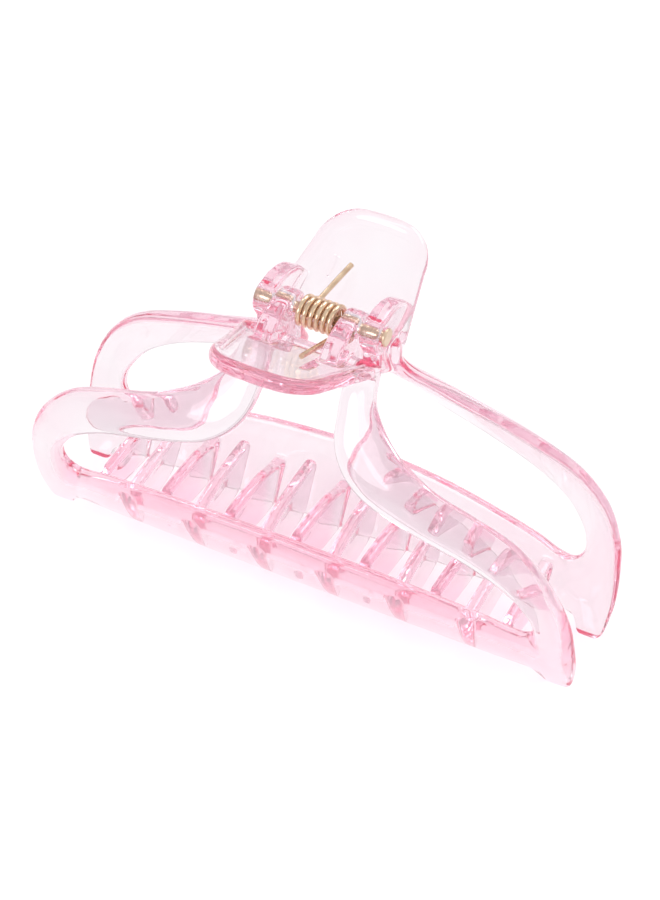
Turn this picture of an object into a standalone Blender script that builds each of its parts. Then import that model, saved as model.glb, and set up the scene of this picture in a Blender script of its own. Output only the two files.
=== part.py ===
"""Claw clip for hair: two moulded jaws on one hinge pin, held shut by a torsion spring.

X runs along the hinge pin, +Y is the rear jaw's side and +Z is up. The clip stands on the four lobes at the
ends of its jaws, and the origin is on the ground, under the middle of the pin.
Lengths are in metres.
"""

import math

import bmesh
import bpy
from mathutils import Matrix, Vector

MM = 0.001

# Driving dimensions
HINGE_HEIGHT = 57.0 * MM          # pin's axis above the ground
HALF_LENGTH = 52.0 * MM           # half of the clip's length, along X
WALL = 3.0 * MM                   # thickness of the moulded jaws
EDGE_ROUND = 0.7 * MM             # rounding of the jaws' long edges
CLEARANCE = 0.3 * MM              # gap between pieces that touch

# Jaw: section through the middle, and the plan curve that brings its ends inwards
SECTION = [                       # (height from the pin, distance of the outer face from the middle plane)
    (2.0 * MM, 4.8 * MM),
    (-6.0 * MM, 5.8 * MM),
    (-11.0 * MM, 8.5 * MM),
    (-16.0 * MM, 12.3 * MM),
    (-21.0 * MM, 15.4 * MM),
    (-27.0 * MM, 17.0 * MM),
    (-34.0 * MM, 16.6 * MM),
    (-46.0 * MM, 12.9 * MM),
    (-60.0 * MM, 6.4 * MM),
]
BOW = 6.8 * MM                    # how far the shoulders' ends sit inside the middle
BOW_TOP = -20.0 * MM              # the bow fades from this height
BOW_FOOT = -57.0 * MM             # to nothing at this one

# Jaw: right half of its open frame, from an arm's top to the middle of the comb's bar, as pairs of
# (x, height) in millimetres on the outer edge and on the opening's edge
FRAME = [
    ((12.6, -3.4), (6.6, -5.0)),
    ((13.0, -9.0), (6.8, -11.0)),
    ((17.5, -13.6), (8.6, -16.8)),
    ((25.0, -17.6), (14.5, -22.2)),
    ((34.0, -20.6), (24.0, -26.0)),
    ((42.0, -24.2), (34.0, -29.6)),
    ((47.6, -30.2), (40.6, -33.8)),
    ((51.0, -38.0), (44.2, -38.6)),
    ((52.0, -46.0), (45.0, -41.8)),
    ((51.8, -52.6), (44.5, -43.6)),
    ((50.4, -57.8), (43.3, -44.7)),
    ((46.8, -58.0), (41.6, -44.9)),
    ((44.6, -55.0), (39.5, -44.5)),
    ((36.0, -55.0), (34.0, -43.0)),
    ((18.0, -55.0), (18.0, -40.6)),
    ((0.0, -55.0), (0.0, -39.5)),
]

# Thumb tabs
TAB_TILT = math.radians(26.0)
TAB_REACH = 23.6 * MM             # how far the tip stands from the middle plane
TAB_THICKNESS = 2.7 * MM
TAB_ROOT_HALF_WIDTH = 12.4 * MM
TAB_TIP_HALF_WIDTH = 10.2 * MM
TAB_CORNER = 6.0 * MM
TAB_CROWN = 1.6 * MM
TAB_ROOT_OVERLAP = 1.8 * MM       # how far the tab runs into the tops of the arms

# Hinge
PIN_RADIUS = 1.0 * MM
PIN_HALF_LENGTH = 11.7 * MM
PIN_HEAD_RADIUS = 1.6 * MM
PIN_HEAD_THICKNESS = 0.5 * MM
LUG_RADIUS = 2.9 * MM
LUG_BORE = PIN_RADIUS + CLEARANCE
REAR_LUG_X = (8.0 * MM, 11.4 * MM)
FRONT_LUG_X = (4.3 * MM, 7.7 * MM)

# Teeth
TOOTH_PITCH = 13.0 * MM
TOOTH_THICKNESS = 2.7 * MM
TOOTH_REACH = 9.7 * MM            # how far the middle tooth reaches past the middle plane
TOOTH_SHORTENING = 1.12           # per metre: the others reach less by this times x squared
TOOTH_TOP = -46.3 * MM            # height of a tooth's upper edge at its root
TOOTH_TIP = -42.2 * MM            # height of the middle tooth's tip
TOOTH_DROP = 2.2                  # per metre: the others' tips are lower by this times x squared
TOOTH_TIP_RADIUS = 1.3 * MM
TOOTH_END = -50.4 * MM            # height of the foot of a tooth's sloping end
TOOTH_END_SLOPE = 2.6 * MM        # how far that foot stands back from the tip
TOOTH_FOOT = -54.2 * MM           # height of its lower edge at its root
REAR_TEETH = (-3, -2, -1, 0, 1, 2, 3)         # places, in pitches from the middle
FRONT_TEETH = (-2.5, -1.5, -0.5, 0.5, 1.5, 2.5)

# Spring
WIRE = 0.95 * MM
COIL_RADIUS = 2.35 * MM
COIL_TURNS = 7
COIL_PITCH = 0.98 * MM
LEG_REACH = 13.6 * MM             # distance of a leg's tip from the middle plane
LEG_LEAN = 2.2 * MM               # how far the rear leg leans towards the clip's middle

# Places in a jaw's own section, as (distance from the middle plane, height)
REAR_TAB_START = (5.4 * MM, -4.2 * MM)        # inner face of the tab, where it leaves the arms
FRONT_TAB_START = (4.6 * MM, -2.2 * MM)
REAR_LUG_WEB = [(-1.5, -3.2), (-1.5, -6.6), (0.2, -8.4), (6.2, -12.4), (8.0, -8.0), (8.2, -4.0), (11.0, -2.2),
                (10.6, -1.2), (9.2, 0.5), (7.4, 1.8), (5.0, 2.7), (2.6, 3.1)]
FRONT_LUG_WEB = [(-1.5, -3.2), (-1.5, -7.4), (-0.4, -8.9), (3.6, -9.2), (5.2, -6.0), (7.0, -3.2), (9.6, -0.6),
                 (9.0, 0.3), (7.6, 1.5), (5.2, 2.5), (2.6, 3.0)]

PINK = (0.98, 0.62, 0.76, 1.0)
GOLD = (0.83, 0.62, 0.42, 1.0)


# ---------------------------------------------------------------- helpers

def clear_scene():
    for obj in list(bpy.data.objects):
        bpy.data.objects.remove(obj, do_unlink=True)


def make_collection(name):
    collection = bpy.data.collections.new(name)
    bpy.context.scene.collection.children.link(collection)
    return collection


def make_material(name, color, roughness, metallic):
    material = bpy.data.materials.new(name)
    material.use_nodes = True
    shader = material.node_tree.nodes["Principled BSDF"]
    shader.inputs["Base Color"].default_value = color
    shader.inputs["Roughness"].default_value = roughness
    shader.inputs["Metallic"].default_value = metallic
    material.diffuse_color = color
    return material


def make_hinge(name, turn, collection):
    """Empty on the pin's axis; a turn of half a circle about Z makes the front half from the rear one's shapes."""
    hinge = bpy.data.objects.new(name, None)
    hinge.location = (0.0, 0.0, HINGE_HEIGHT)
    hinge.rotation_euler.z = turn
    collection.objects.link(hinge)
    return hinge


def spline_through(points, steps):
    """Points on a smooth curve through the given points, with the given number of steps for each span."""
    points = [Vector(p) for p in points]
    ends = [2 * points[0] - points[1]] + points + [2 * points[-1] - points[-2]]
    curve = []
    for k in range(len(points) - 1):
        a, b, c, d = ends[k:k + 4]
        for i in range(steps):
            t = i / steps
            curve.append(0.5 * (2 * b + (c - a) * t + (2 * a - 5 * b + 4 * c - d) * t ** 2
                                + (3 * b - a - 3 * c + d) * t ** 3))
    curve.append(points[-1])
    return curve


def arc(center, radius, start, end, steps):
    """Points of an arc, with its angles in degrees."""
    angles = [math.radians(start + (end - start) * k / steps) for k in range(steps + 1)]
    return [(center[0] + radius * math.cos(a), center[1] + radius * math.sin(a)) for a in angles]


def curve_to_mesh(name, curve, collection):
    """Mesh object of a curve, with its caps welded."""
    guide = bpy.data.objects.new(name, curve)
    collection.objects.link(guide)
    bpy.context.view_layer.update()
    evaluated = guide.evaluated_get(bpy.context.evaluated_depsgraph_get())
    mesh = bpy.data.meshes.new_from_object(evaluated)
    bpy.data.objects.remove(guide, do_unlink=True)
    bm = bmesh.new()
    bm.from_mesh(mesh)
    bmesh.ops.remove_doubles(bm, verts=bm.verts, dist=0.01 * MM)
    bmesh.ops.recalc_face_normals(bm, faces=bm.faces)
    bm.to_mesh(mesh)
    bm.free()
    obj = bpy.data.objects.new(name, mesh)
    collection.objects.link(obj)
    return obj


def plate(name, outlines, thickness, bevel, collection):
    """Flat plate in its own XY plane; the first outline is its edge and any other is a hole."""
    curve = bpy.data.curves.new(name, "CURVE")
    curve.dimensions = "2D"
    curve.fill_mode = "BOTH"
    curve.extrude = thickness / 2 - bevel
    curve.bevel_depth = bevel
    curve.bevel_resolution = 0
    curve.offset = -bevel
    for outline in outlines:
        spline = curve.splines.new("POLY")
        spline.points.add(len(outline) - 1)
        for point, (u, v) in zip(spline.points, outline):
            point.co = (u, v, 0.0, 1.0)
        spline.use_cyclic_u = True
    return curve_to_mesh(name, curve, collection)


def stand_in_section(obj, x):
    """Turns a plate into the YZ plane, at the given x."""
    obj.rotation_euler = (math.pi / 2, 0.0, math.pi / 2)
    obj.location = (x, 0.0, 0.0)


def use_tool(target, operation, tool):
    """Adds a Boolean to the target and keeps the tool out of the part."""
    tool.hide_render = True
    tool.display_type = "WIRE"
    modifier = target.modifiers.new(tool.name, "BOOLEAN")
    modifier.operation = operation
    modifier.solver = "EXACT"
    modifier.object = tool


# ---------------------------------------------------------------- the jaws' curved wall

def section_distance(height):
    """Distance of a jaw's outer face from the middle plane, half way along the clip."""
    k = 0
    while k < len(SECTION) - 2 and height < SECTION[k + 1][0]:
        k += 1
    top, bottom = SECTION[k], SECTION[k + 1]
    before = SECTION[max(k - 1, 0)]
    after = SECTION[min(k + 2, len(SECTION) - 1)]
    span = bottom[0] - top[0]
    slope_top = (bottom[1] - before[1]) / (bottom[0] - before[0])
    slope_bottom = (after[1] - top[1]) / (after[0] - top[0])
    t = (height - top[0]) / span
    return ((2 * t ** 3 - 3 * t ** 2 + 1) * top[1] + (t ** 3 - 2 * t ** 2 + t) * span * slope_top
            + (3 * t ** 2 - 2 * t ** 3) * bottom[1] + (t ** 3 - t ** 2) * span * slope_bottom)


def on_wall(x, height, depth):
    """Point of a jaw's wall, at a depth below its outer face."""
    fade = min(1.0, max(0.0, (height - BOW_FOOT) / (BOW_TOP - BOW_FOOT)))
    step = 0.2 * MM
    slope = (section_distance(height + step) - section_distance(height - step)) / (2 * step)
    length = math.hypot(1.0, slope)
    y = section_distance(height) - BOW * fade * (x / HALF_LENGTH) ** 2 - depth / length
    return Vector((x, y, height + depth * slope / length))


def frame_pairs():
    """Matched edge points all round the frame, from the top of the left arm to the top of the right one."""
    outer = spline_through([(x * MM, z * MM) for (x, z), _ in FRAME], 2)
    inner = spline_through([(x * MM, z * MM) for _, (x, z) in FRAME], 2)
    right = list(zip(outer, inner))
    left = [(Vector((-o.x, o.y)), Vector((-i.x, i.y))) for o, i in right[:-1]]
    return left + right[::-1]


def frame_ring(outer, inner):
    """Section of the frame between a point on its outer edge and one on the opening's edge."""
    inset = EDGE_ROUND / (outer - inner).length
    across = [inset, 0.35, 0.65, 1.0 - inset]
    ring = [(t, 0.0) for t in across]
    ring += [(1.0, EDGE_ROUND), (1.0, WALL - EDGE_ROUND)]
    ring += [(t, WALL) for t in reversed(across)]
    ring += [(0.0, WALL - EDGE_ROUND), (0.0, EDGE_ROUND)]
    points = []
    for t, depth in ring:
        spot = outer.lerp(inner, t)
        points.append(on_wall(spot.x, spot.y, depth))
    return points


def make_frame(name, collection):
    """Arms, sides and comb bar of a jaw: one loft of unlike sections, because its width and curve both change."""
    rings = [frame_ring(outer, inner) for outer, inner in frame_pairs()]
    size = len(rings[0])
    bm = bmesh.new()
    verts = [[bm.verts.new(point) for point in ring] for ring in rings]
    for first, second in zip(verts, verts[1:]):
        for i in range(size):
            j = (i + 1) % size
            bm.faces.new((first[i], first[j], second[j], second[i]))
    bm.faces.new(verts[0])
    bm.faces.new(verts[-1])
    bmesh.ops.recalc_face_normals(bm, faces=bm.faces)
    mesh = bpy.data.meshes.new(name)
    bm.to_mesh(mesh)
    bm.free()
    obj = bpy.data.objects.new(name, mesh)
    collection.objects.link(obj)
    return obj


# ---------------------------------------------------------------- what is moulded onto a jaw

def make_tab(name, start, collection):
    length = (TAB_REACH - start[0]) / math.cos(TAB_TILT)
    side = TAB_TIP_HALF_WIDTH - TAB_CORNER
    corner = arc((side, length - TAB_CROWN - TAB_CORNER), TAB_CORNER, 0.0, 90.0, 5)
    right = [(TAB_ROOT_HALF_WIDTH, -TAB_ROOT_OVERLAP), (TAB_ROOT_HALF_WIDTH, 0.0)]
    right += [(x, s + TAB_CROWN * (1.0 - (x / TAB_TIP_HALF_WIDTH) ** 2)) for x, s in corner]
    left = [(-x, s) for x, s in reversed(right)]
    tab = plate(name, [right + [(0.0, length)] + left], TAB_THICKNESS, 0.5 * MM, collection)
    tab.rotation_euler.x = TAB_TILT
    half = TAB_THICKNESS / 2
    tab.location = (0.0, start[0] + half * math.sin(TAB_TILT), start[1] - half * math.cos(TAB_TILT))
    return tab


def make_lug(name, web, span, side, collection):
    """Round eye about the pin, on a web that runs down to the arm and back to the tab."""
    eye = arc((0.0, 0.0), LUG_RADIUS, 78.0, 206.0, 9)
    outline = eye + [(y * MM, z * MM) for y, z in web]
    bore = arc((0.0, 0.0), LUG_BORE, 0.0, 345.0, 23)
    lug = plate(name, [outline, bore], span[1] - span[0], 0.0, collection)
    stand_in_section(lug, side * (span[0] + span[1]) / 2)
    return lug


def make_tooth(name, place, collection):
    """Fin on the wall's inner face, which rises from its root and ends just short of the other jaw."""
    x = place * TOOTH_PITCH
    reach = -TOOTH_REACH + TOOTH_SHORTENING * x ** 2
    tip_top = TOOTH_TIP - TOOTH_DROP * x ** 2
    root_top = on_wall(x, TOOTH_TOP, WALL / 2).yz
    root_foot = on_wall(x, TOOTH_FOOT, WALL / 2).yz
    tip = arc((reach + TOOTH_TIP_RADIUS, tip_top - TOOTH_TIP_RADIUS), TOOTH_TIP_RADIUS, 85.0, 200.0, 4)
    rise = Vector(tip[0]) - root_top
    upper = spline_through([root_top,
                            root_top + Vector((0.4 * rise.x, 0.66 * rise.y)),
                            root_top + Vector((0.7 * rise.x, 0.92 * rise.y)),
                            tip[0]], 2)
    lower = spline_through([(reach + TOOTH_END_SLOPE, TOOTH_END),
                            (reach + TOOTH_END_SLOPE + 2.0 * MM, TOOTH_END - 2.2 * MM),
                            root_foot - Vector((4.0 * MM, 0.2 * MM)),
                            root_foot], 2)
    outline = [tuple(p) for p in upper[:-1]] + tip + [tuple(p) for p in lower]
    tooth = plate(name, [outline], TOOTH_THICKNESS, 0.5 * MM, collection)
    stand_in_section(tooth, x)
    return tooth


def make_ground(name, collection):
    """Block under the ground, which cuts the feet of a jaw's end lobes flat."""
    bpy.ops.mesh.primitive_cube_add(size=1.0)
    ground = bpy.context.object
    ground.name = name
    ground.data.transform(Matrix.Diagonal((0.3, 0.3, 0.02, 1.0)))
    ground.location.z = -HINGE_HEIGHT - 0.01
    for linked in list(ground.users_collection):
        linked.objects.unlink(ground)
    collection.objects.link(ground)
    return ground


def make_jaw(name, turn, tab_start, lug_web, lug_span, teeth, parts, tools):
    hinge = make_hinge(name + "_hinge", turn, parts)
    jaw = make_frame(name, parts)
    moulded = [make_tab(name + "_tab", tab_start, tools)]
    moulded += [make_lug(name + "_lug", lug_web, lug_span, side, tools) for side in (-1, 1)]
    moulded += [make_tooth(name + "_tooth", place, tools) for place in teeth]
    for tool in moulded:
        use_tool(jaw, "UNION", tool)
    ground = make_ground(name + "_ground", tools)
    use_tool(jaw, "DIFFERENCE", ground)
    for obj in [jaw, ground] + moulded:
        obj.parent = hinge
    return jaw


# ---------------------------------------------------------------- pin and spring

def make_pin(collection, hinge):
    """Headed pin, turned about its own Z and laid along X."""
    head = PIN_HALF_LENGTH + PIN_HEAD_THICKNESS
    chamfer = 0.2 * MM
    profile = [
        (0.0, head),
        (PIN_HEAD_RADIUS - chamfer, head),
        (PIN_HEAD_RADIUS, head - chamfer),
        (PIN_HEAD_RADIUS, PIN_HALF_LENGTH),
        (PIN_RADIUS, PIN_HALF_LENGTH),
        (PIN_RADIUS, chamfer - PIN_HALF_LENGTH),
        (PIN_RADIUS - chamfer, -PIN_HALF_LENGTH),
        (0.0, -PIN_HALF_LENGTH),
    ]
    mesh = bpy.data.meshes.new("hinge_pin")
    edges = [(k, k + 1) for k in range(len(profile) - 1)]
    mesh.from_pydata([(radius, 0.0, height) for radius, height in profile], edges, [])
    pin = bpy.data.objects.new("hinge_pin", mesh)
    collection.objects.link(pin)
    screw = pin.modifiers.new("turned", "SCREW")
    screw.axis = "Z"
    screw.steps = 20
    screw.render_steps = 20
    screw.use_merge_vertices = True
    screw.merge_threshold = 0.01 * MM
    pin.rotation_euler.y = math.pi / 2
    pin.parent = hinge
    return pin


def leg_tip(start, side):
    """Tip of a spring leg's centre line in the YZ plane, clear of a tab's inner face."""
    off_face = WIRE / 2 + CLEARANCE
    along = (LEG_REACH - start[0]) / math.cos(TAB_TILT)
    y = start[0] + along * math.cos(TAB_TILT) - off_face * math.sin(TAB_TILT)
    z = start[1] + along * math.sin(TAB_TILT) + off_face * math.cos(TAB_TILT)
    return side * y, z


def make_spring(collection, hinge):
    """Close coil on the pin, whose two legs leave from under it and lie along the tabs' inner faces."""
    half = COIL_TURNS * COIL_PITCH / 2
    rear_tip = leg_tip(REAR_TAB_START, 1)
    front_tip = leg_tip(FRONT_TAB_START, -1)
    start = tangent_angle(rear_tip, -1)
    end = tangent_angle(front_tip, 1)
    steps = COIL_TURNS * 14
    sweep = -2 * math.pi * COIL_TURNS + (end - start)
    points = [(-half + LEG_LEAN, rear_tip[0], rear_tip[1])]
    for k in range(steps + 1):
        angle = start + sweep * k / steps
        points.append((-half + 2 * half * k / steps, COIL_RADIUS * math.cos(angle), COIL_RADIUS * math.sin(angle)))
    points.append((half, front_tip[0], front_tip[1]))
    curve = bpy.data.curves.new("torsion_spring", "CURVE")
    curve.dimensions = "3D"
    curve.bevel_depth = WIRE / 2
    curve.bevel_resolution = 2
    curve.use_fill_caps = True
    spline = curve.splines.new("POLY")
    spline.points.add(len(points) - 1)
    for point, place in zip(spline.points, points):
        point.co = (*place, 1.0)
    spring = bpy.data.objects.new("torsion_spring", curve)
    collection.objects.link(spring)
    spring.parent = hinge
    return spring


def tangent_angle(tip, turn):
    """Angle on the coil where a straight leg to the tip touches it, on the coil's underside."""
    distance = math.hypot(*tip)
    return math.atan2(tip[1], tip[0]) + turn * math.acos(COIL_RADIUS / distance)


def main():
    clear_scene()
    parts = make_collection("claw_clip")
    tools = make_collection("claw_clip_tools")
    plastic = make_material("clear_pink_plastic", PINK, 0.12, 0.0)
    metal = make_material("gold_wire", GOLD, 0.25, 1.0)

    rear = make_jaw("rear_jaw", 0.0, REAR_TAB_START, REAR_LUG_WEB, REAR_LUG_X, REAR_TEETH, parts, tools)
    front = make_jaw("front_jaw", math.pi, FRONT_TAB_START, FRONT_LUG_WEB, FRONT_LUG_X, FRONT_TEETH, parts, tools)
    pin = make_pin(parts, rear.parent)
    spring = make_spring(parts, rear.parent)
    for obj, material in ((rear, plastic), (front, plastic), (pin, metal), (spring, metal)):
        obj.data.materials.append(material)


main()
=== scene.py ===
"""Claw clip for hair: the looks of its clear pink jaws, gold pin and gold spring, on the model's bodies.

X runs along the hinge pin, +Y is the rear jaw's side and +Z is up. Each jaw is shaped in the rear jaw's
place with the pin's axis at the origin, and half a turn about Z makes the front one. Lengths are in metres.
"""

import math

import bmesh
import bpy
from mathutils import Matrix, Vector


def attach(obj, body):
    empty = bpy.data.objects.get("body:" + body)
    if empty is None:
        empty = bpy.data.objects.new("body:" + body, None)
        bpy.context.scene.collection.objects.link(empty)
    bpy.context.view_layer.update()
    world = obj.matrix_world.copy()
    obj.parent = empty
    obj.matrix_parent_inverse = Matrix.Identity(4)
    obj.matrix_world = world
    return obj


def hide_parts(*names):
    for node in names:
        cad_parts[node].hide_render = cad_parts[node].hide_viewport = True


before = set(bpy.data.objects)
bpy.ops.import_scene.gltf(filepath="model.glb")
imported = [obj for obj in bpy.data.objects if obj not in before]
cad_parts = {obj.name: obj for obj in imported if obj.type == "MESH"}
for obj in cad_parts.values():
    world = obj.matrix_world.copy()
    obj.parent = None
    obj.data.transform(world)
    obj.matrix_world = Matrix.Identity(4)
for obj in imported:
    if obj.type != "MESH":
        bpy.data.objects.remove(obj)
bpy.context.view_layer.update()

MM = 0.001

# Jaws: the solids' own dimensions, with the finer ones that only their skins have
HINGE_HEIGHT = 57.0 * MM
HALF_LENGTH = 52.0 * MM
WALL = 3.0 * MM
SECTION = [                       # (height from the pin, distance of the outer face from the middle plane)
    (2.0 * MM, 4.8 * MM),
    (-6.0 * MM, 5.8 * MM),
    (-11.0 * MM, 8.5 * MM),
    (-16.0 * MM, 12.3 * MM),
    (-21.0 * MM, 15.4 * MM),
    (-27.0 * MM, 17.0 * MM),
    (-34.0 * MM, 16.6 * MM),
    (-46.0 * MM, 12.9 * MM),
    (-60.0 * MM, 6.4 * MM),
]
BOW = 6.8 * MM                    # how far the wall curves in from its middle to its ends
BOW_TOP = -20.0 * MM              # height above which it curves in by all of that
BOW_FOOT = -57.0 * MM             # and at which it is straight
FRAME = [                         # (x, height) in millimetres on the outer edge and on the opening's edge
    ((12.6, -3.4), (6.6, -5.0)),
    ((13.0, -9.0), (6.8, -11.0)),
    ((17.5, -13.6), (8.6, -16.8)),
    ((25.0, -17.6), (14.5, -22.2)),
    ((34.0, -20.6), (24.0, -26.0)),
    ((42.0, -24.2), (34.0, -29.6)),
    ((47.6, -30.2), (40.6, -33.8)),
    ((51.0, -38.0), (44.2, -38.6)),
    ((52.0, -46.0), (45.0, -41.8)),
    ((51.8, -52.6), (44.5, -43.6)),
    ((50.4, -57.8), (43.3, -44.7)),
    ((46.8, -58.0), (41.6, -44.9)),
    ((44.6, -55.0), (39.5, -44.5)),
    ((36.0, -55.0), (34.0, -43.0)),
    ((18.0, -55.0), (18.0, -40.6)),
    ((0.0, -55.0), (0.0, -39.5)),
]
EDGE_RADIUS = 0.8 * MM            # rounding of the band's long edges
CROWN = 0.8 * MM                  # how far the outer face falls from the band's middle to its edges
INNER_CROWN = 0.5 * MM            # and the inner face
FRAME_STEPS = 8                   # sections of the band for each span of the frame
FLAT_STEPS = 8                    # across each of its faces
CORNER_STEPS = 5                  # round each of its edges

TAB_TILT = math.radians(26.0)
TAB_REACH = 23.6 * MM
TAB_THICKNESS = 2.7 * MM
TAB_ROOT_HALF_WIDTH = 12.4 * MM
TAB_TIP_HALF_WIDTH = 10.2 * MM
TAB_CORNER = 6.0 * MM
TAB_CROWN = 1.6 * MM              # how far the edge at the tip bulges
TAB_ROOT_OVERLAP = 1.8 * MM       # how far a tab runs on into the lugs' webs
TAB_SIDE_START = 0.1 * MM         # past the root, where the sides start to taper
TAB_EDGE_RADIUS = 0.9 * MM
TAB_RIM = 2.2 * MM                # width of the rim round a tab's inner face
TAB_DISH = 0.6 * MM               # how far the middle of that face lies below its rim
TAB_DISH_START = 1.5 * MM         # distance of the dish from the tab's root
TAB_MIDDLE_START = 0.6 * MM       # and of the plate that makes its floor, which runs in under the rim
TAB_MIDDLE_OVERLAP = 0.8 * MM
TAB_MIDDLE_RADIUS = 0.2 * MM
REAR_TAB_START = (5.4 * MM, -4.2 * MM)   # (y, height) of the inner face's root, from the pin's axis
FRONT_TAB_START = (4.6 * MM, -2.2 * MM)

LUG_RADIUS = 2.9 * MM
LUG_EYE = (78.0, 206.0)           # degrees between which a lug's edge is its round eye
LUG_BORE = 1.3 * MM               # the bore's radius
LUG_EDGE_RADIUS = 0.3 * MM
BORE_STEPS = 48
REAR_LUG_X = (8.0 * MM, 11.4 * MM)
FRONT_LUG_X = (4.3 * MM, 7.7 * MM)
REAR_LUG_WEB = [                  # (y, height) in millimetres from the pin's axis, on from the eye
    (-1.5, -3.2), (-1.5, -6.6), (0.2, -8.4), (6.2, -12.4), (8.0, -8.0), (8.2, -4.0),
    (11.0, -2.2), (10.6, -1.2), (9.2, 0.5), (7.4, 1.8), (5.0, 2.7), (2.6, 3.1),
]
FRONT_LUG_WEB = [
    (-1.5, -3.2), (-1.5, -7.4), (-0.4, -8.9), (3.6, -9.2), (5.2, -6.0), (7.0, -3.2),
    (9.6, -0.6), (9.0, 0.3), (7.6, 1.5), (5.2, 2.5), (2.6, 3.0),
]

TOOTH_PITCH = 13.0 * MM
TOOTH_THICKNESS = 2.7 * MM
TOOTH_REACH = 9.7 * MM            # how far the middle tooth reaches past the middle plane
TOOTH_SHORTENING = 1.12           # per metre: reach lost for x squared
TOOTH_TOP = -46.3 * MM            # height of a tooth's upper edge at its root
TOOTH_TIP = -42.2 * MM            # height of the middle tooth's tip
TOOTH_DROP = 2.2                  # per metre: height lost for x squared
TOOTH_BACK = ((0.4, 0.66), (0.7, 0.92))   # upper edge between root and tip: shares of its run and rise
TOOTH_TIP_RADIUS = 1.3 * MM
TOOTH_TIP_ARC = (85.0, 200.0)     # degrees between which the tip is round
TOOTH_END = -50.4 * MM            # height of the foot of a tooth's sloping end
TOOTH_END_SLOPE = 2.6 * MM        # how far that foot stands back from the tip
TOOTH_HEEL = (2.0 * MM, -2.2 * MM)   # from there to the next point of the lower edge
TOOTH_SOLE = (4.0 * MM, 0.2 * MM)    # from the last point before the root to the root
TOOTH_FOOT = -54.2 * MM           # height of the lower edge at the root
TOOTH_EDGE_RADIUS = 0.7 * MM
TOOTH_STEPS = 8                   # for each span of its upper and lower edges
TOOTH_DRAFT = 0.2                 # share of its thickness that a tooth loses towards its tip
TOOTH_WEDGE = 0.5                 # and from its upper edge to its lower one
REAR_TEETH = (-3, -2, -1, 0, 1, 2, 3)
FRONT_TEETH = (-2.5, -1.5, -0.5, 0.5, 1.5, 2.5)

GUIDE_X = -4.7 * MM               # small rib beside the spring's leg on a tab's inner face
GUIDE_HALF_WIDTH = 0.3 * MM
GUIDE_SPAN = (10.9 * MM, 14.6 * MM)
GUIDE_THICKNESS = 1.4 * MM
GUIDE_SINK = 0.4 * MM             # depth of the rib's middle below the tab's face
GUIDE_EDGE_RADIUS = 0.1 * MM

PLATE_SEAM = 0.002 * MM           # points of a jaw's shapes closer than this are one
SKIN_VOXEL = 0.24 * MM            # grid on which the shapes are merged into one skin
SKIN_SMOOTHING = 14               # rounds of smoothing, which also fillet the joins

# Pin and spring
PIN_RADIUS = 1.0 * MM
PIN_HALF_LENGTH = 11.7 * MM
PIN_HEAD_RADIUS = 1.6 * MM
PIN_HEAD_THICKNESS = 0.5 * MM
PIN_HEAD_ROUNDING = 0.25 * MM
PIN_HEAD_DISH = (0.8 * MM, 0.01 * MM)   # radius and depth of the faint ring in the head's face
PIN_HEAD_BEVEL = 0.05 * MM        # under the head
PIN_CHAMFER = 0.2 * MM
PIN_STEPS = 64
PIN_SEAM = 0.001 * MM
WIRE = 0.95 * MM
WIRE_SEAM = 0.005 * MM
COIL_RADIUS = 2.35 * MM
COIL_TURNS = 7
COIL_PITCH = 0.98 * MM
COIL_STEPS = 48                   # for each turn
LEG_REACH = 13.6 * MM
LEG_LEAN = 2.2 * MM
LEG_BEND = 1.2                    # above 1, a leg's sideways lean starts softly at the coil
LEG_STEPS = 16
TAIL_STEPS = 16                   # length of the front leg's tail, in the coil's steps
FRONT_LEG_THINNESS = 0.985        # of the front leg's wire, so that its tail lies inside the coil
WIRE_GAP = 0.3 * MM               # between a leg and its tab
SHARP_ANGLE = 40.0                # degrees above which the metal's edges are shaded sharp

# Looks: a noise's scale is its cells per metre, and a colour is linear red, green and blue
NOISE_RANGE = (0.3, 0.7)          # between which a noise's values mostly lie
PLASTIC_IOR = 1.5
PLASTIC_CLOUDS = (70.0, 3.0)      # noise scale and detail
PLASTIC_TINTS = [(0.35, (0.88, 0.885, 0.895)), (0.7, (0.875, 0.82, 0.85))]
PLASTIC_HAZE = (260.0, 4.0)
PLASTIC_ROUGHNESS = (0.01, 0.06)
PLASTIC_RIPPLES = (120.0, 2.0, (0.5, 1.0, 1.6))   # and stretch
PLASTIC_RIPPLE_HEIGHT = 0.35 * MM
PLASTIC_RIPPLE_STRENGTH = 0.12
PLASTIC_PASSED = (1.0, 0.1, 0.38, 1.0)   # colour that its depth lets through
PLASTIC_DENSITY = 22.0
PLASTIC_SHADOW = (1.0, 0.93, 0.96, 1.0)  # and that its shadow keeps
# Painted shade: a deeper pink on the teeth that stands in for the light seen through a fin's full height,
# strongest on the rear jaw; the plastic itself is evenly tinted
PAINTED_FIN_SHADE_DEPTH = (4.5 * MM, 1.5 * MM)    # distances from the middle plane where the painted fin shade starts and is full
PAINTED_FIN_SHADE_HEIGHT = (20.0 * MM, 16.0 * MM)
REAR_FIN_PAINTED_SHADE = (0.92, 0.73, 0.81)
FRONT_FIN_PAINTED_SHADE = (0.9, 0.85, 0.88)

GOLD_PATCHES = (500.0, 3.0)
GOLD_LINES = (1500.0, 3.0)
GOLD_POLISH = (0.7, 1.4)          # least and greatest share of the roughness
GOLD_LINE_DEPTH = 0.02 * MM
GOLD_LINE_STRENGTH = 0.25

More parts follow.
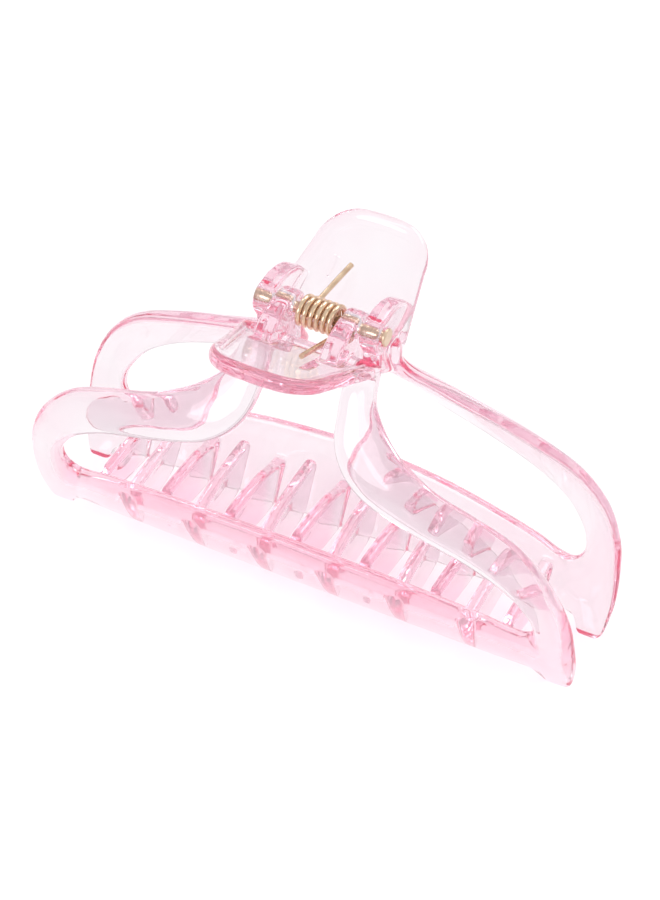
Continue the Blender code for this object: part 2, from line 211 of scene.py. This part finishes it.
FLOOR_REACH = 4.0
FLOOR_GAP = 0.1 * MM              # below the clip's feet
FLOOR_GRAIN = (40.0, 2.0)
FLOOR_TINTS = [(0.3, (0.93, 0.93, 0.93)), (0.7, (0.95, 0.95, 0.95))]
FLOOR_ROUGHNESS = 0.8
FLOOR_SPECULAR = 0.1
SKY_STRENGTH = 0.86
SKY_TINTS = [                     # from the horizon up
    (0.0, (0.74, 0.71, 0.72)),
    (0.12, (0.86, 0.85, 0.86)),
    (0.4, (0.95, 0.95, 0.96)),
    (0.8, (1.0, 1.0, 1.0)),
]
LAMP_AIM = (0.0, 0.0, 0.03)
LAMPS = [                         # name, place, diameter and power in watts
    ("key", (-0.45, 0.25, 0.65), 0.14, 0.5),
    ("fill", (0.6, -0.2, 0.45), 0.3, 0.2),
    ("front", (-0.33, -0.87, 0.42), 0.5, 2.2),
    ("back", (0.1, 0.75, 0.95), 0.7, 4.2),
]

CAMERA_AZIMUTH = 27.25            # degrees round from the front towards +X
CAMERA_ELEVATION = 43.14
CAMERA_ROLL = 0.28
CAMERA_DISTANCE = 461.85 * MM
CAMERA_AIM = (1.44 * MM, -21.81 * MM)    # right and up of the pin's middle, as the camera sees it
CAMERA_FILM = 36.0                # height in millimetres
CAMERA_LENS = 114.1
CAMERA_NEAR = 0.01
LIGHT_BOUNCES = 48                # light crosses many clear layers
GLOSSY_BOUNCES = 24

# Numbers of sockets that share their name with another one of their node
MIX_COLOR_A, MIX_COLOR_B, MIX_COLOR_RESULT = 6, 7, 2
MIX_SHADER_A, MIX_SHADER_B = 1, 2


# ---------------------------------------------------------------- helpers

def new_object(name, data):
    obj = bpy.data.objects.new(name, data)
    bpy.context.scene.collection.objects.link(obj)
    return obj


def evaluated_mesh(obj):
    """Mesh of an object with its modifiers or its bevel, which takes the object's place."""
    bpy.context.view_layer.update()
    mesh = bpy.data.meshes.new_from_object(obj.evaluated_get(bpy.context.evaluated_depsgraph_get()))
    mesh.transform(obj.matrix_world)
    bpy.data.objects.remove(obj, do_unlink=True)
    return mesh


def spline_through(points, steps):
    """Points on a smooth curve through the given points, with the given number of steps for each span."""
    points = [Vector(p) for p in points]
    ends = [2 * points[0] - points[1]] + points + [2 * points[-1] - points[-2]]
    curve = []
    for k in range(len(points) - 1):
        a, b, c, d = ends[k:k + 4]
        for i in range(steps):
            t = i / steps
            curve.append(0.5 * (2 * b + (c - a) * t + (2 * a - 5 * b + 4 * c - d) * t ** 2
                                + (3 * b - a - 3 * c + d) * t ** 3))
    curve.append(points[-1])
    return curve


def arc(center, radius, start, end, steps):
    """Points of an arc, with its angles in degrees."""
    angles = [math.radians(start + (end - start) * k / steps) for k in range(steps + 1)]
    return [(center[0] + radius * math.cos(a), center[1] + radius * math.sin(a)) for a in angles]


def curve_object(name, outlines, dimensions, cyclic):
    curve = bpy.data.curves.new(name, "CURVE")
    curve.dimensions = dimensions
    for outline in outlines:
        spline = curve.splines.new("POLY")
        spline.points.add(len(outline) - 1)
        for point, place in zip(spline.points, outline):
            point.co = (*place, 1.0) if len(place) == 3 else (*place, 0.0, 1.0)
        spline.use_cyclic_u = cyclic
    return new_object(name, curve)


def plate_mesh(name, outlines, thickness, bevel, place):
    """Flat plate with round edges, put in its place by a matrix.

    The first outline is the plate's edge and any other one is a hole.
    """
    obj = curve_object(name, outlines, "2D", True)
    curve = obj.data
    curve.fill_mode = "BOTH"
    curve.extrude = thickness / 2 - bevel
    curve.bevel_depth = bevel
    curve.bevel_resolution = 3
    curve.offset = -bevel
    obj.matrix_world = place
    return evaluated_mesh(obj)


def in_section(x):
    """Matrix that stands a plate in the YZ plane at x."""
    upright = Matrix(((0, 0, 1, 0), (1, 0, 0, 0), (0, 1, 0, 0), (0, 0, 0, 1)))
    return Matrix.Translation((x, 0.0, 0.0)) @ upright


def wire_mesh(name, points, radius):
    """Round wire along the points, with closed ends."""
    obj = curve_object(name, [points], "3D", False)
    obj.data.bevel_depth = radius
    obj.data.bevel_resolution = 5
    obj.data.use_fill_caps = True
    mesh = evaluated_mesh(obj)
    bm = bmesh.new()
    bm.from_mesh(mesh)
    bmesh.ops.remove_doubles(bm, verts=bm.verts, dist=WIRE_SEAM)
    bmesh.ops.recalc_face_normals(bm, faces=bm.faces)
    bm.to_mesh(mesh)
    bm.free()
    return mesh


# ---------------------------------------------------------------- the jaws' curved wall

def section_distance(height):
    """Distance of a jaw's outer face from the middle plane, half way along the clip."""
    k = 0
    while k < len(SECTION) - 2 and height < SECTION[k + 1][0]:
        k += 1
    top, bottom = SECTION[k], SECTION[k + 1]
    before = SECTION[max(k - 1, 0)]
    after = SECTION[min(k + 2, len(SECTION) - 1)]
    span = bottom[0] - top[0]
    slope_top = (bottom[1] - before[1]) / (bottom[0] - before[0])
    slope_bottom = (after[1] - top[1]) / (after[0] - top[0])
    t = (height - top[0]) / span
    return ((2 * t ** 3 - 3 * t ** 2 + 1) * top[1] + (t ** 3 - 2 * t ** 2 + t) * span * slope_top
            + (3 * t ** 2 - 2 * t ** 3) * bottom[1] + (t ** 3 - t ** 2) * span * slope_bottom)


def on_wall(x, height, depth):
    """Point of a jaw's wall, at a depth below its outer face."""
    fade = min(1.0, max(0.0, (height - BOW_FOOT) / (BOW_TOP - BOW_FOOT)))
    step = 0.2 * MM               # over which the wall's slope is taken
    slope = (section_distance(height + step) - section_distance(height - step)) / (2 * step)
    length = math.hypot(1.0, slope)
    y = section_distance(height) - BOW * fade * (x / HALF_LENGTH) ** 2 - depth / length
    return Vector((x, y, height + depth * slope / length))


def frame_pairs(steps):
    """Matched edge points all round the frame, from the top of the left arm to the top of the right one."""
    outer = spline_through([(x * MM, z * MM) for (x, z), _ in FRAME], steps)
    inner = spline_through([(x * MM, z * MM) for _, (x, z) in FRAME], steps)
    right = list(zip(outer, inner))
    left = [(Vector((-o.x, o.y)), Vector((-i.x, i.y))) for o, i in right[:-1]]
    return left + right[::-1]


def frame_ring(outer, inner):
    """Section of the frame: a band with round edges, whose outer and inner faces are slightly crowned."""
    width = (outer - inner).length
    radius = EDGE_RADIUS
    flat = [radius + (width - 2 * radius) * k / FLAT_STEPS for k in range(FLAT_STEPS + 1)]
    ring = [(s, 0.0) for s in flat]
    ring += arc((width - radius, radius), radius, -90.0, 0.0, CORNER_STEPS)[1:]
    ring += arc((width - radius, WALL - radius), radius, 0.0, 90.0, CORNER_STEPS)
    ring += [(s, WALL) for s in reversed(flat[:-1])]
    ring += arc((radius, WALL - radius), radius, 90.0, 180.0, CORNER_STEPS)[1:]
    ring += arc((radius, radius), radius, 180.0, 270.0, CORNER_STEPS)[:-1]
    points = []
    for s, depth in ring:
        spot = outer.lerp(inner, s / width)
        fall = CROWN * (1 - depth / WALL) - INNER_CROWN * depth / WALL
        points.append(on_wall(spot.x, spot.y, depth + fall * (2 * s / width - 1) ** 2))
    return points


def frame_mesh(name):
    """Arms, sides and comb bar of a jaw as one loft, with the feet of its end lobes cut flat."""
    rings = [frame_ring(outer, inner) for outer, inner in frame_pairs(FRAME_STEPS)]
    size = len(rings[0])
    bm = bmesh.new()
    verts = [[bm.verts.new(point) for point in ring] for ring in rings]
    for first, second in zip(verts, verts[1:]):
        for i in range(size):
            j = (i + 1) % size
            bm.faces.new((first[i], first[j], second[j], second[i]))
    bm.faces.new(verts[0])
    bm.faces.new(verts[-1])
    bmesh.ops.recalc_face_normals(bm, faces=bm.faces)
    cut = bmesh.ops.bisect_plane(bm, geom=bm.verts[:] + bm.edges[:] + bm.faces[:], clear_outer=True,
                                 plane_co=(0.0, 0.0, -HINGE_HEIGHT), plane_no=(0.0, 0.0, -1.0))
    edges = [item for item in cut["geom_cut"] if isinstance(item, bmesh.types.BMEdge)]
    bmesh.ops.holes_fill(bm, edges=edges, sides=0)
    bmesh.ops.recalc_face_normals(bm, faces=bm.faces)
    mesh = bpy.data.meshes.new(name)
    bm.to_mesh(mesh)
    bm.free()
    return mesh


# ---------------------------------------------------------------- what is moulded onto a jaw

def tab_matrix(start):
    """Matrix that lays a plate along a tab, with the plate's Y running from the tab's root to its tip."""
    half = TAB_THICKNESS / 2
    middle = (0.0, start[0] + half * math.sin(TAB_TILT), start[1] - half * math.cos(TAB_TILT))
    return Matrix.Translation(middle) @ Matrix.Rotation(TAB_TILT, 4, "X")


def tab_outline(start, root, inset):
    """Edge of a tab, or a line inside it at the inset, closed at the root's distance along the tab."""
    length = (TAB_REACH - start[0]) / math.cos(TAB_TILT)
    side = TAB_TIP_HALF_WIDTH - TAB_CORNER
    corner = arc((side, length - TAB_CROWN - TAB_CORNER), TAB_CORNER - inset, 0.0, 90.0, 16)
    wide = TAB_ROOT_HALF_WIDTH - inset
    right = [(wide, root), (wide, max(root, 0.0) + TAB_SIDE_START)]
    right += [(x, s + TAB_CROWN * (1.0 - (x / TAB_TIP_HALF_WIDTH) ** 2)) for x, s in corner]
    for x in (side * 3 / 4, side * 2 / 4, side * 1 / 4):
        right.append((x, length - inset - TAB_CROWN * (x / TAB_TIP_HALF_WIDTH) ** 2))
    left = [(-x, s) for x, s in reversed(right)]
    return right + [(0.0, length - inset)] + left


def tab_meshes(start):
    """A finger tab: a round-edged rim about a slightly sunken middle."""
    edge = tab_outline(start, -TAB_ROOT_OVERLAP, 0.0)
    hole = tab_outline(start, TAB_DISH_START, TAB_RIM)
    middle = tab_outline(start, TAB_MIDDLE_START, TAB_RIM - TAB_MIDDLE_OVERLAP)
    place = tab_matrix(start)
    sunken = place @ Matrix.Translation((0.0, 0.0, -TAB_DISH / 2))
    return [plate_mesh("tab_rim", [edge, hole], TAB_THICKNESS, TAB_EDGE_RADIUS, place),
            plate_mesh("tab_middle", [middle], TAB_THICKNESS - TAB_DISH, TAB_MIDDLE_RADIUS, sunken)]


def guide_mesh(start):
    """Low rib on the tab's inner face, beside where a spring leg lies."""
    low, high = [(y - start[0]) / math.cos(TAB_TILT) for y in GUIDE_SPAN]
    left, right = GUIDE_X - GUIDE_HALF_WIDTH, GUIDE_X + GUIDE_HALF_WIDTH
    outline = [(left, low), (right, low), (right, high), (left, high)]
    lift = Matrix.Translation((0.0, 0.0, TAB_THICKNESS / 2 - GUIDE_SINK))
    return plate_mesh("guide", [outline], GUIDE_THICKNESS, GUIDE_EDGE_RADIUS, tab_matrix(start) @ lift)


def lug_mesh(web, span, side):
    """Round eye about the pin, on a web that runs down to the arm and back to the tab."""
    eye = arc((0.0, 0.0), LUG_RADIUS, *LUG_EYE, 24)
    outline = eye + [(y * MM, z * MM) for y, z in web]
    bore = arc((0.0, 0.0), LUG_BORE, 0.0, 360.0 - 360.0 / BORE_STEPS, BORE_STEPS - 1)
    middle = side * sum(span) / 2
    return plate_mesh("lug", [outline, bore], span[1] - span[0], LUG_EDGE_RADIUS, in_section(middle))


def tooth_mesh(place):
    """Fin on the wall's inner face, which rises from its root and ends just short of the other jaw."""
    x = place * TOOTH_PITCH
    reach = -TOOTH_REACH + TOOTH_SHORTENING * x ** 2
    tip_top = TOOTH_TIP - TOOTH_DROP * x ** 2
    root_top = on_wall(x, TOOTH_TOP, WALL / 2).yz
    root_foot = on_wall(x, TOOTH_FOOT, WALL / 2).yz
    tip = arc((reach + TOOTH_TIP_RADIUS, tip_top - TOOTH_TIP_RADIUS), TOOTH_TIP_RADIUS, *TOOTH_TIP_ARC, 12)
    rise = Vector(tip[0]) - root_top
    back = [root_top + Vector((run * rise.x, climb * rise.y)) for run, climb in TOOTH_BACK]
    upper = spline_through([root_top, *back, tip[0]], TOOTH_STEPS)
    end = reach + TOOTH_END_SLOPE
    lower = spline_through([(end, TOOTH_END),
                            (end + TOOTH_HEEL[0], TOOTH_END + TOOTH_HEEL[1]),
                            root_foot - Vector(TOOTH_SOLE),
                            root_foot], TOOTH_STEPS)
    outline = [tuple(p) for p in upper[:-1]] + tip + [tuple(p) for p in lower]
    mesh = plate_mesh("tooth", [outline], TOOTH_THICKNESS, TOOTH_EDGE_RADIUS, in_section(x))
    for vert in mesh.vertices:
        towards_tip = max(0.0, (root_top.x - vert.co.y) / (root_top.x - reach))
        towards_foot = max(0.0, (tip_top - vert.co.z) / (tip_top - TOOTH_FOOT))
        draft, wedge = 1.0 - TOOTH_DRAFT * towards_tip, 1.0 - TOOTH_WEDGE * towards_foot
        vert.co.x = x + (vert.co.x - x) * draft * wedge
    return mesh


def merged_skin(name, meshes):
    """One closed, softly filleted skin over overlapping closed meshes, cut off at its ends and foot."""
    bm = bmesh.new()
    for mesh in meshes:
        bm.from_mesh(mesh)
    bmesh.ops.remove_doubles(bm, verts=bm.verts, dist=PLATE_SEAM)
    joined = bpy.data.meshes.new(name)
    bm.to_mesh(joined)
    bm.free()
    obj = new_object(name, joined)
    remesh = obj.modifiers.new("skin", "REMESH")
    remesh.mode = "VOXEL"
    remesh.voxel_size = SKIN_VOXEL
    mesh = evaluated_mesh(obj)
    bm = bmesh.new()
    bm.from_mesh(mesh)
    for _ in range(SKIN_SMOOTHING):
        bmesh.ops.smooth_vert(bm, verts=bm.verts, factor=0.5,
                              use_axis_x=True, use_axis_y=True, use_axis_z=True)
    for vert in bm.verts:
        vert.co.x = min(max(vert.co.x, -HALF_LENGTH), HALF_LENGTH)
        vert.co.z = max(vert.co.z, -HINGE_HEIGHT)
    for face in bm.faces:
        face.smooth = True
    bm.to_mesh(mesh)
    bm.free()
    return mesh


def make_jaw(name, turn, tab_start, lug_web, lug_span, teeth, material):
    """A jaw's skin in its place, turned about Z."""
    meshes = [frame_mesh("frame"), guide_mesh(tab_start), *tab_meshes(tab_start)]
    meshes += [lug_mesh(lug_web, lug_span, side) for side in (-1, 1)]
    meshes += [tooth_mesh(place) for place in teeth]
    mesh = merged_skin(name, meshes)
    mesh.transform(Matrix.Translation((0.0, 0.0, HINGE_HEIGHT)) @ Matrix.Rotation(turn, 4, "Z"))
    mesh.materials.append(material)
    return new_object(name, mesh)


# ---------------------------------------------------------------- pin and spring

def pin_mesh():
    """Turned pin with a round-edged head at +X and a chamfer at its far end."""
    head = PIN_HALF_LENGTH + PIN_HEAD_THICKNESS
    rounding = PIN_HEAD_ROUNDING
    profile = [(0.0, head), (PIN_HEAD_DISH[0], head - PIN_HEAD_DISH[1])]
    profile += arc((PIN_HEAD_RADIUS - rounding, head - rounding), rounding, 90.0, 0.0, 5)
    profile += [(PIN_HEAD_RADIUS, PIN_HALF_LENGTH + PIN_HEAD_BEVEL),
                (PIN_HEAD_RADIUS - PIN_HEAD_BEVEL, PIN_HALF_LENGTH),
                (PIN_RADIUS, PIN_HALF_LENGTH),
                (PIN_RADIUS, PIN_CHAMFER - PIN_HALF_LENGTH),
                (PIN_RADIUS - PIN_CHAMFER, -PIN_HALF_LENGTH),
                (0.0, -PIN_HALF_LENGTH)]
    mesh = bpy.data.meshes.new("pin")
    mesh.from_pydata([(r, 0.0, h) for r, h in profile], [(k, k + 1) for k in range(len(profile) - 1)], [])
    obj = new_object("pin", mesh)
    screw = obj.modifiers.new("turned", "SCREW")
    screw.axis = "Z"
    screw.steps = PIN_STEPS
    screw.render_steps = PIN_STEPS
    screw.use_merge_vertices = True
    screw.merge_threshold = PIN_SEAM
    obj.rotation_euler.y = math.pi / 2
    obj.location.z = HINGE_HEIGHT
    return evaluated_mesh(obj)


def leg_tip(start, side):
    """Tip of a spring leg's centre line in the YZ plane, just off a tab's inner face."""
    off_face = WIRE / 2 + WIRE_GAP
    along = (LEG_REACH - start[0]) / math.cos(TAB_TILT)
    y = start[0] + along * math.cos(TAB_TILT) - off_face * math.sin(TAB_TILT)
    z = start[1] + along * math.sin(TAB_TILT) + off_face * math.cos(TAB_TILT)
    return side * y, z


def tangent_angle(tip, turn):
    """Angle on the coil where a straight leg to the tip touches it, on the coil's underside."""
    return math.atan2(tip[1], tip[0]) + turn * math.acos(COIL_RADIUS / math.hypot(*tip))


def coil_point(x, angle):
    return (x, COIL_RADIUS * math.cos(angle), COIL_RADIUS * math.sin(angle))


def leg_points(tip, root, steps):
    """Points of a leg from its tip to its root on the coil, whose sideways lean starts softly at the root."""
    points = []
    for k in range(steps):
        t = 1.0 - k / steps
        points.append((root[0] + (tip[0] - root[0]) * t ** LEG_BEND,
                       root[1] + (tip[1] - root[1]) * t,
                       root[2] + (tip[2] - root[2]) * t))
    return points


def raised(points):
    """Points given from the pin's axis, in the clip's own frame."""
    return [(x, y, z + HINGE_HEIGHT) for x, y, z in points]


def spring_meshes():
    """The coil with the rear leg, and the front leg with a tail that lies in the coil's last turn.

    The tail keeps the wire whole when the jaws open and the front leg turns about the pin.
    """
    half = COIL_TURNS * COIL_PITCH / 2
    rear_tip = leg_tip(REAR_TAB_START, 1)
    front_tip = leg_tip(FRONT_TAB_START, -1)
    start = tangent_angle(rear_tip, -1)
    end = tangent_angle(front_tip, 1)
    sweep = -2 * math.pi * COIL_TURNS + (end - start)
    steps = COIL_TURNS * COIL_STEPS
    coil = []
    for k in range(steps + 1):
        coil.append(coil_point(-half + 2 * half * k / steps, start + sweep * k / steps))
    rear = leg_points((-half + LEG_LEAN, *rear_tip), coil[0], LEG_STEPS) + coil
    tail = coil[-TAIL_STEPS:]
    front = leg_points((half, *front_tip), coil[-1], LEG_STEPS) + tail[::-1]
    return (wire_mesh("coil", raised(rear), WIRE / 2),
            wire_mesh("leg", raised(front), WIRE / 2 * FRONT_LEG_THINNESS))


# ---------------------------------------------------------------- materials

def new_material(name):
    material = bpy.data.materials.new(name)
    material.use_nodes = True
    nodes = material.node_tree.nodes
    return material, nodes, material.node_tree.links, nodes["Principled BSDF"], nodes["Material Output"]


def noise(nodes, links, coords, scale, detail, stretch=(1.0, 1.0, 1.0)):
    mapping = nodes.new("ShaderNodeMapping")
    mapping.inputs["Scale"].default_value = stretch
    links.new(coords, mapping.inputs["Vector"])
    texture = nodes.new("ShaderNodeTexNoise")
    texture.inputs["Scale"].default_value = scale
    texture.inputs["Detail"].default_value = detail
    links.new(mapping.outputs["Vector"], texture.inputs["Vector"])
    return texture.outputs["Fac"]


def mapped(nodes, links, source, known, wanted=(0.0, 1.0)):
    """The source's values between the two known ones, spread evenly between the two wanted ones."""
    node = nodes.new("ShaderNodeMapRange")
    node.inputs["From Min"].default_value = known[0]
    node.inputs["From Max"].default_value = known[1]
    node.inputs["To Min"].default_value = wanted[0]
    node.inputs["To Max"].default_value = wanted[1]
    links.new(source, node.inputs["Value"])
    return node.outputs["Result"]


def ramp(nodes, links, source, stops):
    node = nodes.new("ShaderNodeValToRGB")
    elements = node.color_ramp.elements
    while len(elements) < len(stops):
        elements.new(0.5)
    for element, (position, color) in zip(elements, stops):
        element.position = position
        element.color = (*color, 1.0)
    links.new(source, node.inputs["Fac"])
    return node.outputs["Color"]


def bump(nodes, links, height, distance, strength, shader):
    node = nodes.new("ShaderNodeBump")
    node.inputs["Distance"].default_value = distance
    node.inputs["Strength"].default_value = strength
    links.new(height, node.inputs["Height"])
    links.new(node.outputs["Normal"], shader.inputs["Normal"])


def clear_plastic(name, side, fin_painted_shade):
    """Clear pink polycarbonate: tinted through its thickness, with faint flow ripples and handling haze.

    A jaw's teeth, the part of it low down and inside its wall on the given side, take a painted shade: a
    deeper tint that stands in for the light seen through a fin's full height.
    """
    material, nodes, links, shader, output = new_material(name)
    coords = nodes.new("ShaderNodeTexCoord").outputs["Object"]
    shader.inputs["Transmission Weight"].default_value = 1.0
    shader.inputs["IOR"].default_value = PLASTIC_IOR
    tint = ramp(nodes, links, noise(nodes, links, coords, *PLASTIC_CLOUDS), PLASTIC_TINTS)
    # Painted shade mask: low down and inside the wall, where the teeth are, the base colour takes the deeper
    # tint that stands in for light seen through the fins' full height
    split = nodes.new("ShaderNodeSeparateXYZ")
    links.new(coords, split.inputs["Vector"])
    inside = mapped(nodes, links, split.outputs["Y"], [side * depth for depth in PAINTED_FIN_SHADE_DEPTH])
    low = mapped(nodes, links, split.outputs["Z"], PAINTED_FIN_SHADE_HEIGHT)
    painted_shade_mask = nodes.new("ShaderNodeMath")
    painted_shade_mask.operation = "MULTIPLY"
    links.new(inside, painted_shade_mask.inputs[0])
    links.new(low, painted_shade_mask.inputs[1])
    painted_shade_mix = nodes.new("ShaderNodeMix")
    painted_shade_mix.data_type = "RGBA"
    links.new(painted_shade_mask.outputs["Value"], painted_shade_mix.inputs["Factor"])
    links.new(tint, painted_shade_mix.inputs[MIX_COLOR_A])
    painted_shade_mix.inputs[MIX_COLOR_B].default_value = (*fin_painted_shade, 1.0)
    links.new(painted_shade_mix.outputs[MIX_COLOR_RESULT], shader.inputs["Base Color"])
    haze = noise(nodes, links, coords, *PLASTIC_HAZE)
    links.new(mapped(nodes, links, haze, NOISE_RANGE, PLASTIC_ROUGHNESS), shader.inputs["Roughness"])
    ripple = noise(nodes, links, coords, *PLASTIC_RIPPLES)
    bump(nodes, links, ripple, PLASTIC_RIPPLE_HEIGHT, PLASTIC_RIPPLE_STRENGTH, shader)
    volume = nodes.new("ShaderNodeVolumeAbsorption")
    volume.inputs["Color"].default_value = PLASTIC_PASSED
    volume.inputs["Density"].default_value = PLASTIC_DENSITY
    links.new(volume.outputs["Volume"], output.inputs["Volume"])
    passing = nodes.new("ShaderNodeBsdfTransparent")
    passing.inputs["Color"].default_value = PLASTIC_SHADOW
    light_path = nodes.new("ShaderNodeLightPath")
    mix = nodes.new("ShaderNodeMixShader")
    links.new(light_path.outputs["Is Shadow Ray"], mix.inputs["Fac"])
    links.new(shader.outputs["BSDF"], mix.inputs[MIX_SHADER_A])
    links.new(passing.outputs["BSDF"], mix.inputs[MIX_SHADER_B])
    links.new(mix.outputs["Shader"], output.inputs["Surface"])
    return material


def gold(name, light, dark, roughness, stretch):
    """Gold-coloured metal: fine lines where the noise is stretched, small colour changes, uneven polish."""
    material, nodes, links, shader, _ = new_material(name)
    coords = nodes.new("ShaderNodeTexCoord").outputs["Object"]
    shader.inputs["Metallic"].default_value = 1.0
    patches = noise(nodes, links, coords, *GOLD_PATCHES)
    links.new(ramp(nodes, links, patches, list(zip(NOISE_RANGE, (dark, light)))), shader.inputs["Base Color"])
    lines = noise(nodes, links, coords, *GOLD_LINES, stretch)
    polish = mapped(nodes, links, lines, NOISE_RANGE, [roughness * share for share in GOLD_POLISH])
    links.new(polish, shader.inputs["Roughness"])
    bump(nodes, links, lines, GOLD_LINE_DEPTH, GOLD_LINE_STRENGTH, shader)
    return material


# ---------------------------------------------------------------- stage, light and camera

def make_floor():
    """Pale floor under the clip's feet."""
    mesh = bpy.data.meshes.new("floor")
    corners = [(-1, -1), (1, -1), (1, 1), (-1, 1)]
    mesh.from_pydata([(x * FLOOR_REACH, y * FLOOR_REACH, 0.0) for x, y in corners], [], [(0, 1, 2, 3)])
    floor = new_object("floor", mesh)
    floor.location.z = -FLOOR_GAP
    material, nodes, links, shader, _ = new_material("white_floor")
    coords = nodes.new("ShaderNodeTexCoord").outputs["Object"]
    grain = noise(nodes, links, coords, *FLOOR_GRAIN)
    links.new(ramp(nodes, links, grain, FLOOR_TINTS), shader.inputs["Base Color"])
    shader.inputs["Roughness"].default_value = FLOOR_ROUGHNESS
    shader.inputs["Specular IOR Level"].default_value = FLOOR_SPECULAR
    mesh.materials.append(material)


def make_sky():
    """White surround, a little darker towards the horizon."""
    world = bpy.data.worlds.new("studio")
    bpy.context.scene.world = world
    world.use_nodes = True
    nodes, links = world.node_tree.nodes, world.node_tree.links
    direction = nodes.new("ShaderNodeTexCoord").outputs["Generated"]
    split = nodes.new("ShaderNodeSeparateXYZ")
    links.new(direction, split.inputs["Vector"])
    background = nodes["Background"]
    links.new(ramp(nodes, links, split.outputs["Z"], SKY_TINTS), background.inputs["Color"])
    background.inputs["Strength"].default_value = SKY_STRENGTH


def make_lamps():
    """Round soft lamps that all face the clip's middle."""
    for name, place, size, power in LAMPS:
        lamp = bpy.data.lights.new(name, "AREA")
        lamp.shape = "DISK"
        lamp.size = size
        lamp.energy = power
        obj = new_object(name, lamp)
        obj.location = place
        obj.rotation_euler = (Vector(LAMP_AIM) - Vector(place)).to_track_quat("-Z", "Y").to_euler()


def make_camera():
    """Long lens above the clip's front right corner."""
    azimuth = math.radians(CAMERA_AZIMUTH)
    elevation = math.radians(CAMERA_ELEVATION)
    back = Vector((math.sin(azimuth) * math.cos(elevation),
                   -math.cos(azimuth) * math.cos(elevation),
                   math.sin(elevation)))
    level = Vector((math.cos(azimuth), math.sin(azimuth), 0.0))
    right = Matrix.Rotation(math.radians(CAMERA_ROLL), 3, back) @ level
    up = back.cross(right)
    data = bpy.data.cameras.new("camera")
    data.sensor_fit = "VERTICAL"
    data.sensor_height = CAMERA_FILM
    data.lens = CAMERA_LENS
    data.clip_start = CAMERA_NEAR
    camera = new_object("camera", data)
    rotation = Matrix((right, up, back)).transposed().to_4x4()
    aim = Vector((0.0, 0.0, HINGE_HEIGHT)) + CAMERA_AIM[0] * right + CAMERA_AIM[1] * up
    camera.matrix_world = Matrix.Translation(aim + CAMERA_DISTANCE * back) @ rotation
    bpy.context.scene.camera = camera


# ---------------------------------------------------------------- the clip

def main():
    scene = bpy.context.scene
    scene.view_settings.view_transform = "Standard"
    scene.cycles.max_bounces = LIGHT_BOUNCES
    scene.cycles.transmission_bounces = LIGHT_BOUNCES
    scene.cycles.glossy_bounces = GLOSSY_BOUNCES
    scene.cycles.transparent_max_bounces = LIGHT_BOUNCES
    make_camera()
    make_floor()
    make_sky()
    make_lamps()

    # the rear jaw's plastic carries the stronger painted fin shade
    rear_plastic = clear_plastic("rear_clear_plastic", 1, REAR_FIN_PAINTED_SHADE)
    front_plastic = clear_plastic("front_clear_plastic", -1, FRONT_FIN_PAINTED_SHADE)
    wire = gold("gold_wire", light=(0.84, 0.64, 0.46), dark=(0.68, 0.48, 0.33),
                roughness=0.17, stretch=(0.15, 1.0, 1.0))
    rivet = gold("gold_pin", light=(0.76, 0.58, 0.43), dark=(0.62, 0.45, 0.33),
                 roughness=0.26, stretch=(1.0, 0.2, 0.2))

    rear = make_jaw("rear_jaw_skin", 0.0, REAR_TAB_START, REAR_LUG_WEB, REAR_LUG_X,
                    REAR_TEETH, rear_plastic)
    front = make_jaw("front_jaw_skin", math.pi, FRONT_TAB_START, FRONT_LUG_WEB, FRONT_LUG_X,
                     FRONT_TEETH, front_plastic)
    pin = new_object("pin", pin_mesh())
    coil_mesh, leg_mesh = spring_meshes()
    coil = new_object("spring_coil", coil_mesh)
    leg = new_object("spring_front_leg", leg_mesh)
    for obj, material in ((pin, rivet), (coil, wire), (leg, wire)):
        obj.data.materials.append(material)
        obj.data.shade_smooth()
        obj.data.set_sharp_from_angle(angle=math.radians(SHARP_ANGLE))

    for obj, body, slot in ((rear, "rear", "pink_plastic"),
                            (front, "front", "pink_plastic"),
                            (pin, "rear", "gold_metal"),
                            (coil, "rear", "gold_metal"),
                            (leg, "front", "gold_metal")):
        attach(obj, body)
    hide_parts("rear_jaw")
    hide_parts("front_jaw")
    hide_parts("hinge_pin")
    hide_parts("torsion_spring")
    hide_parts("torsion_spring")


main()
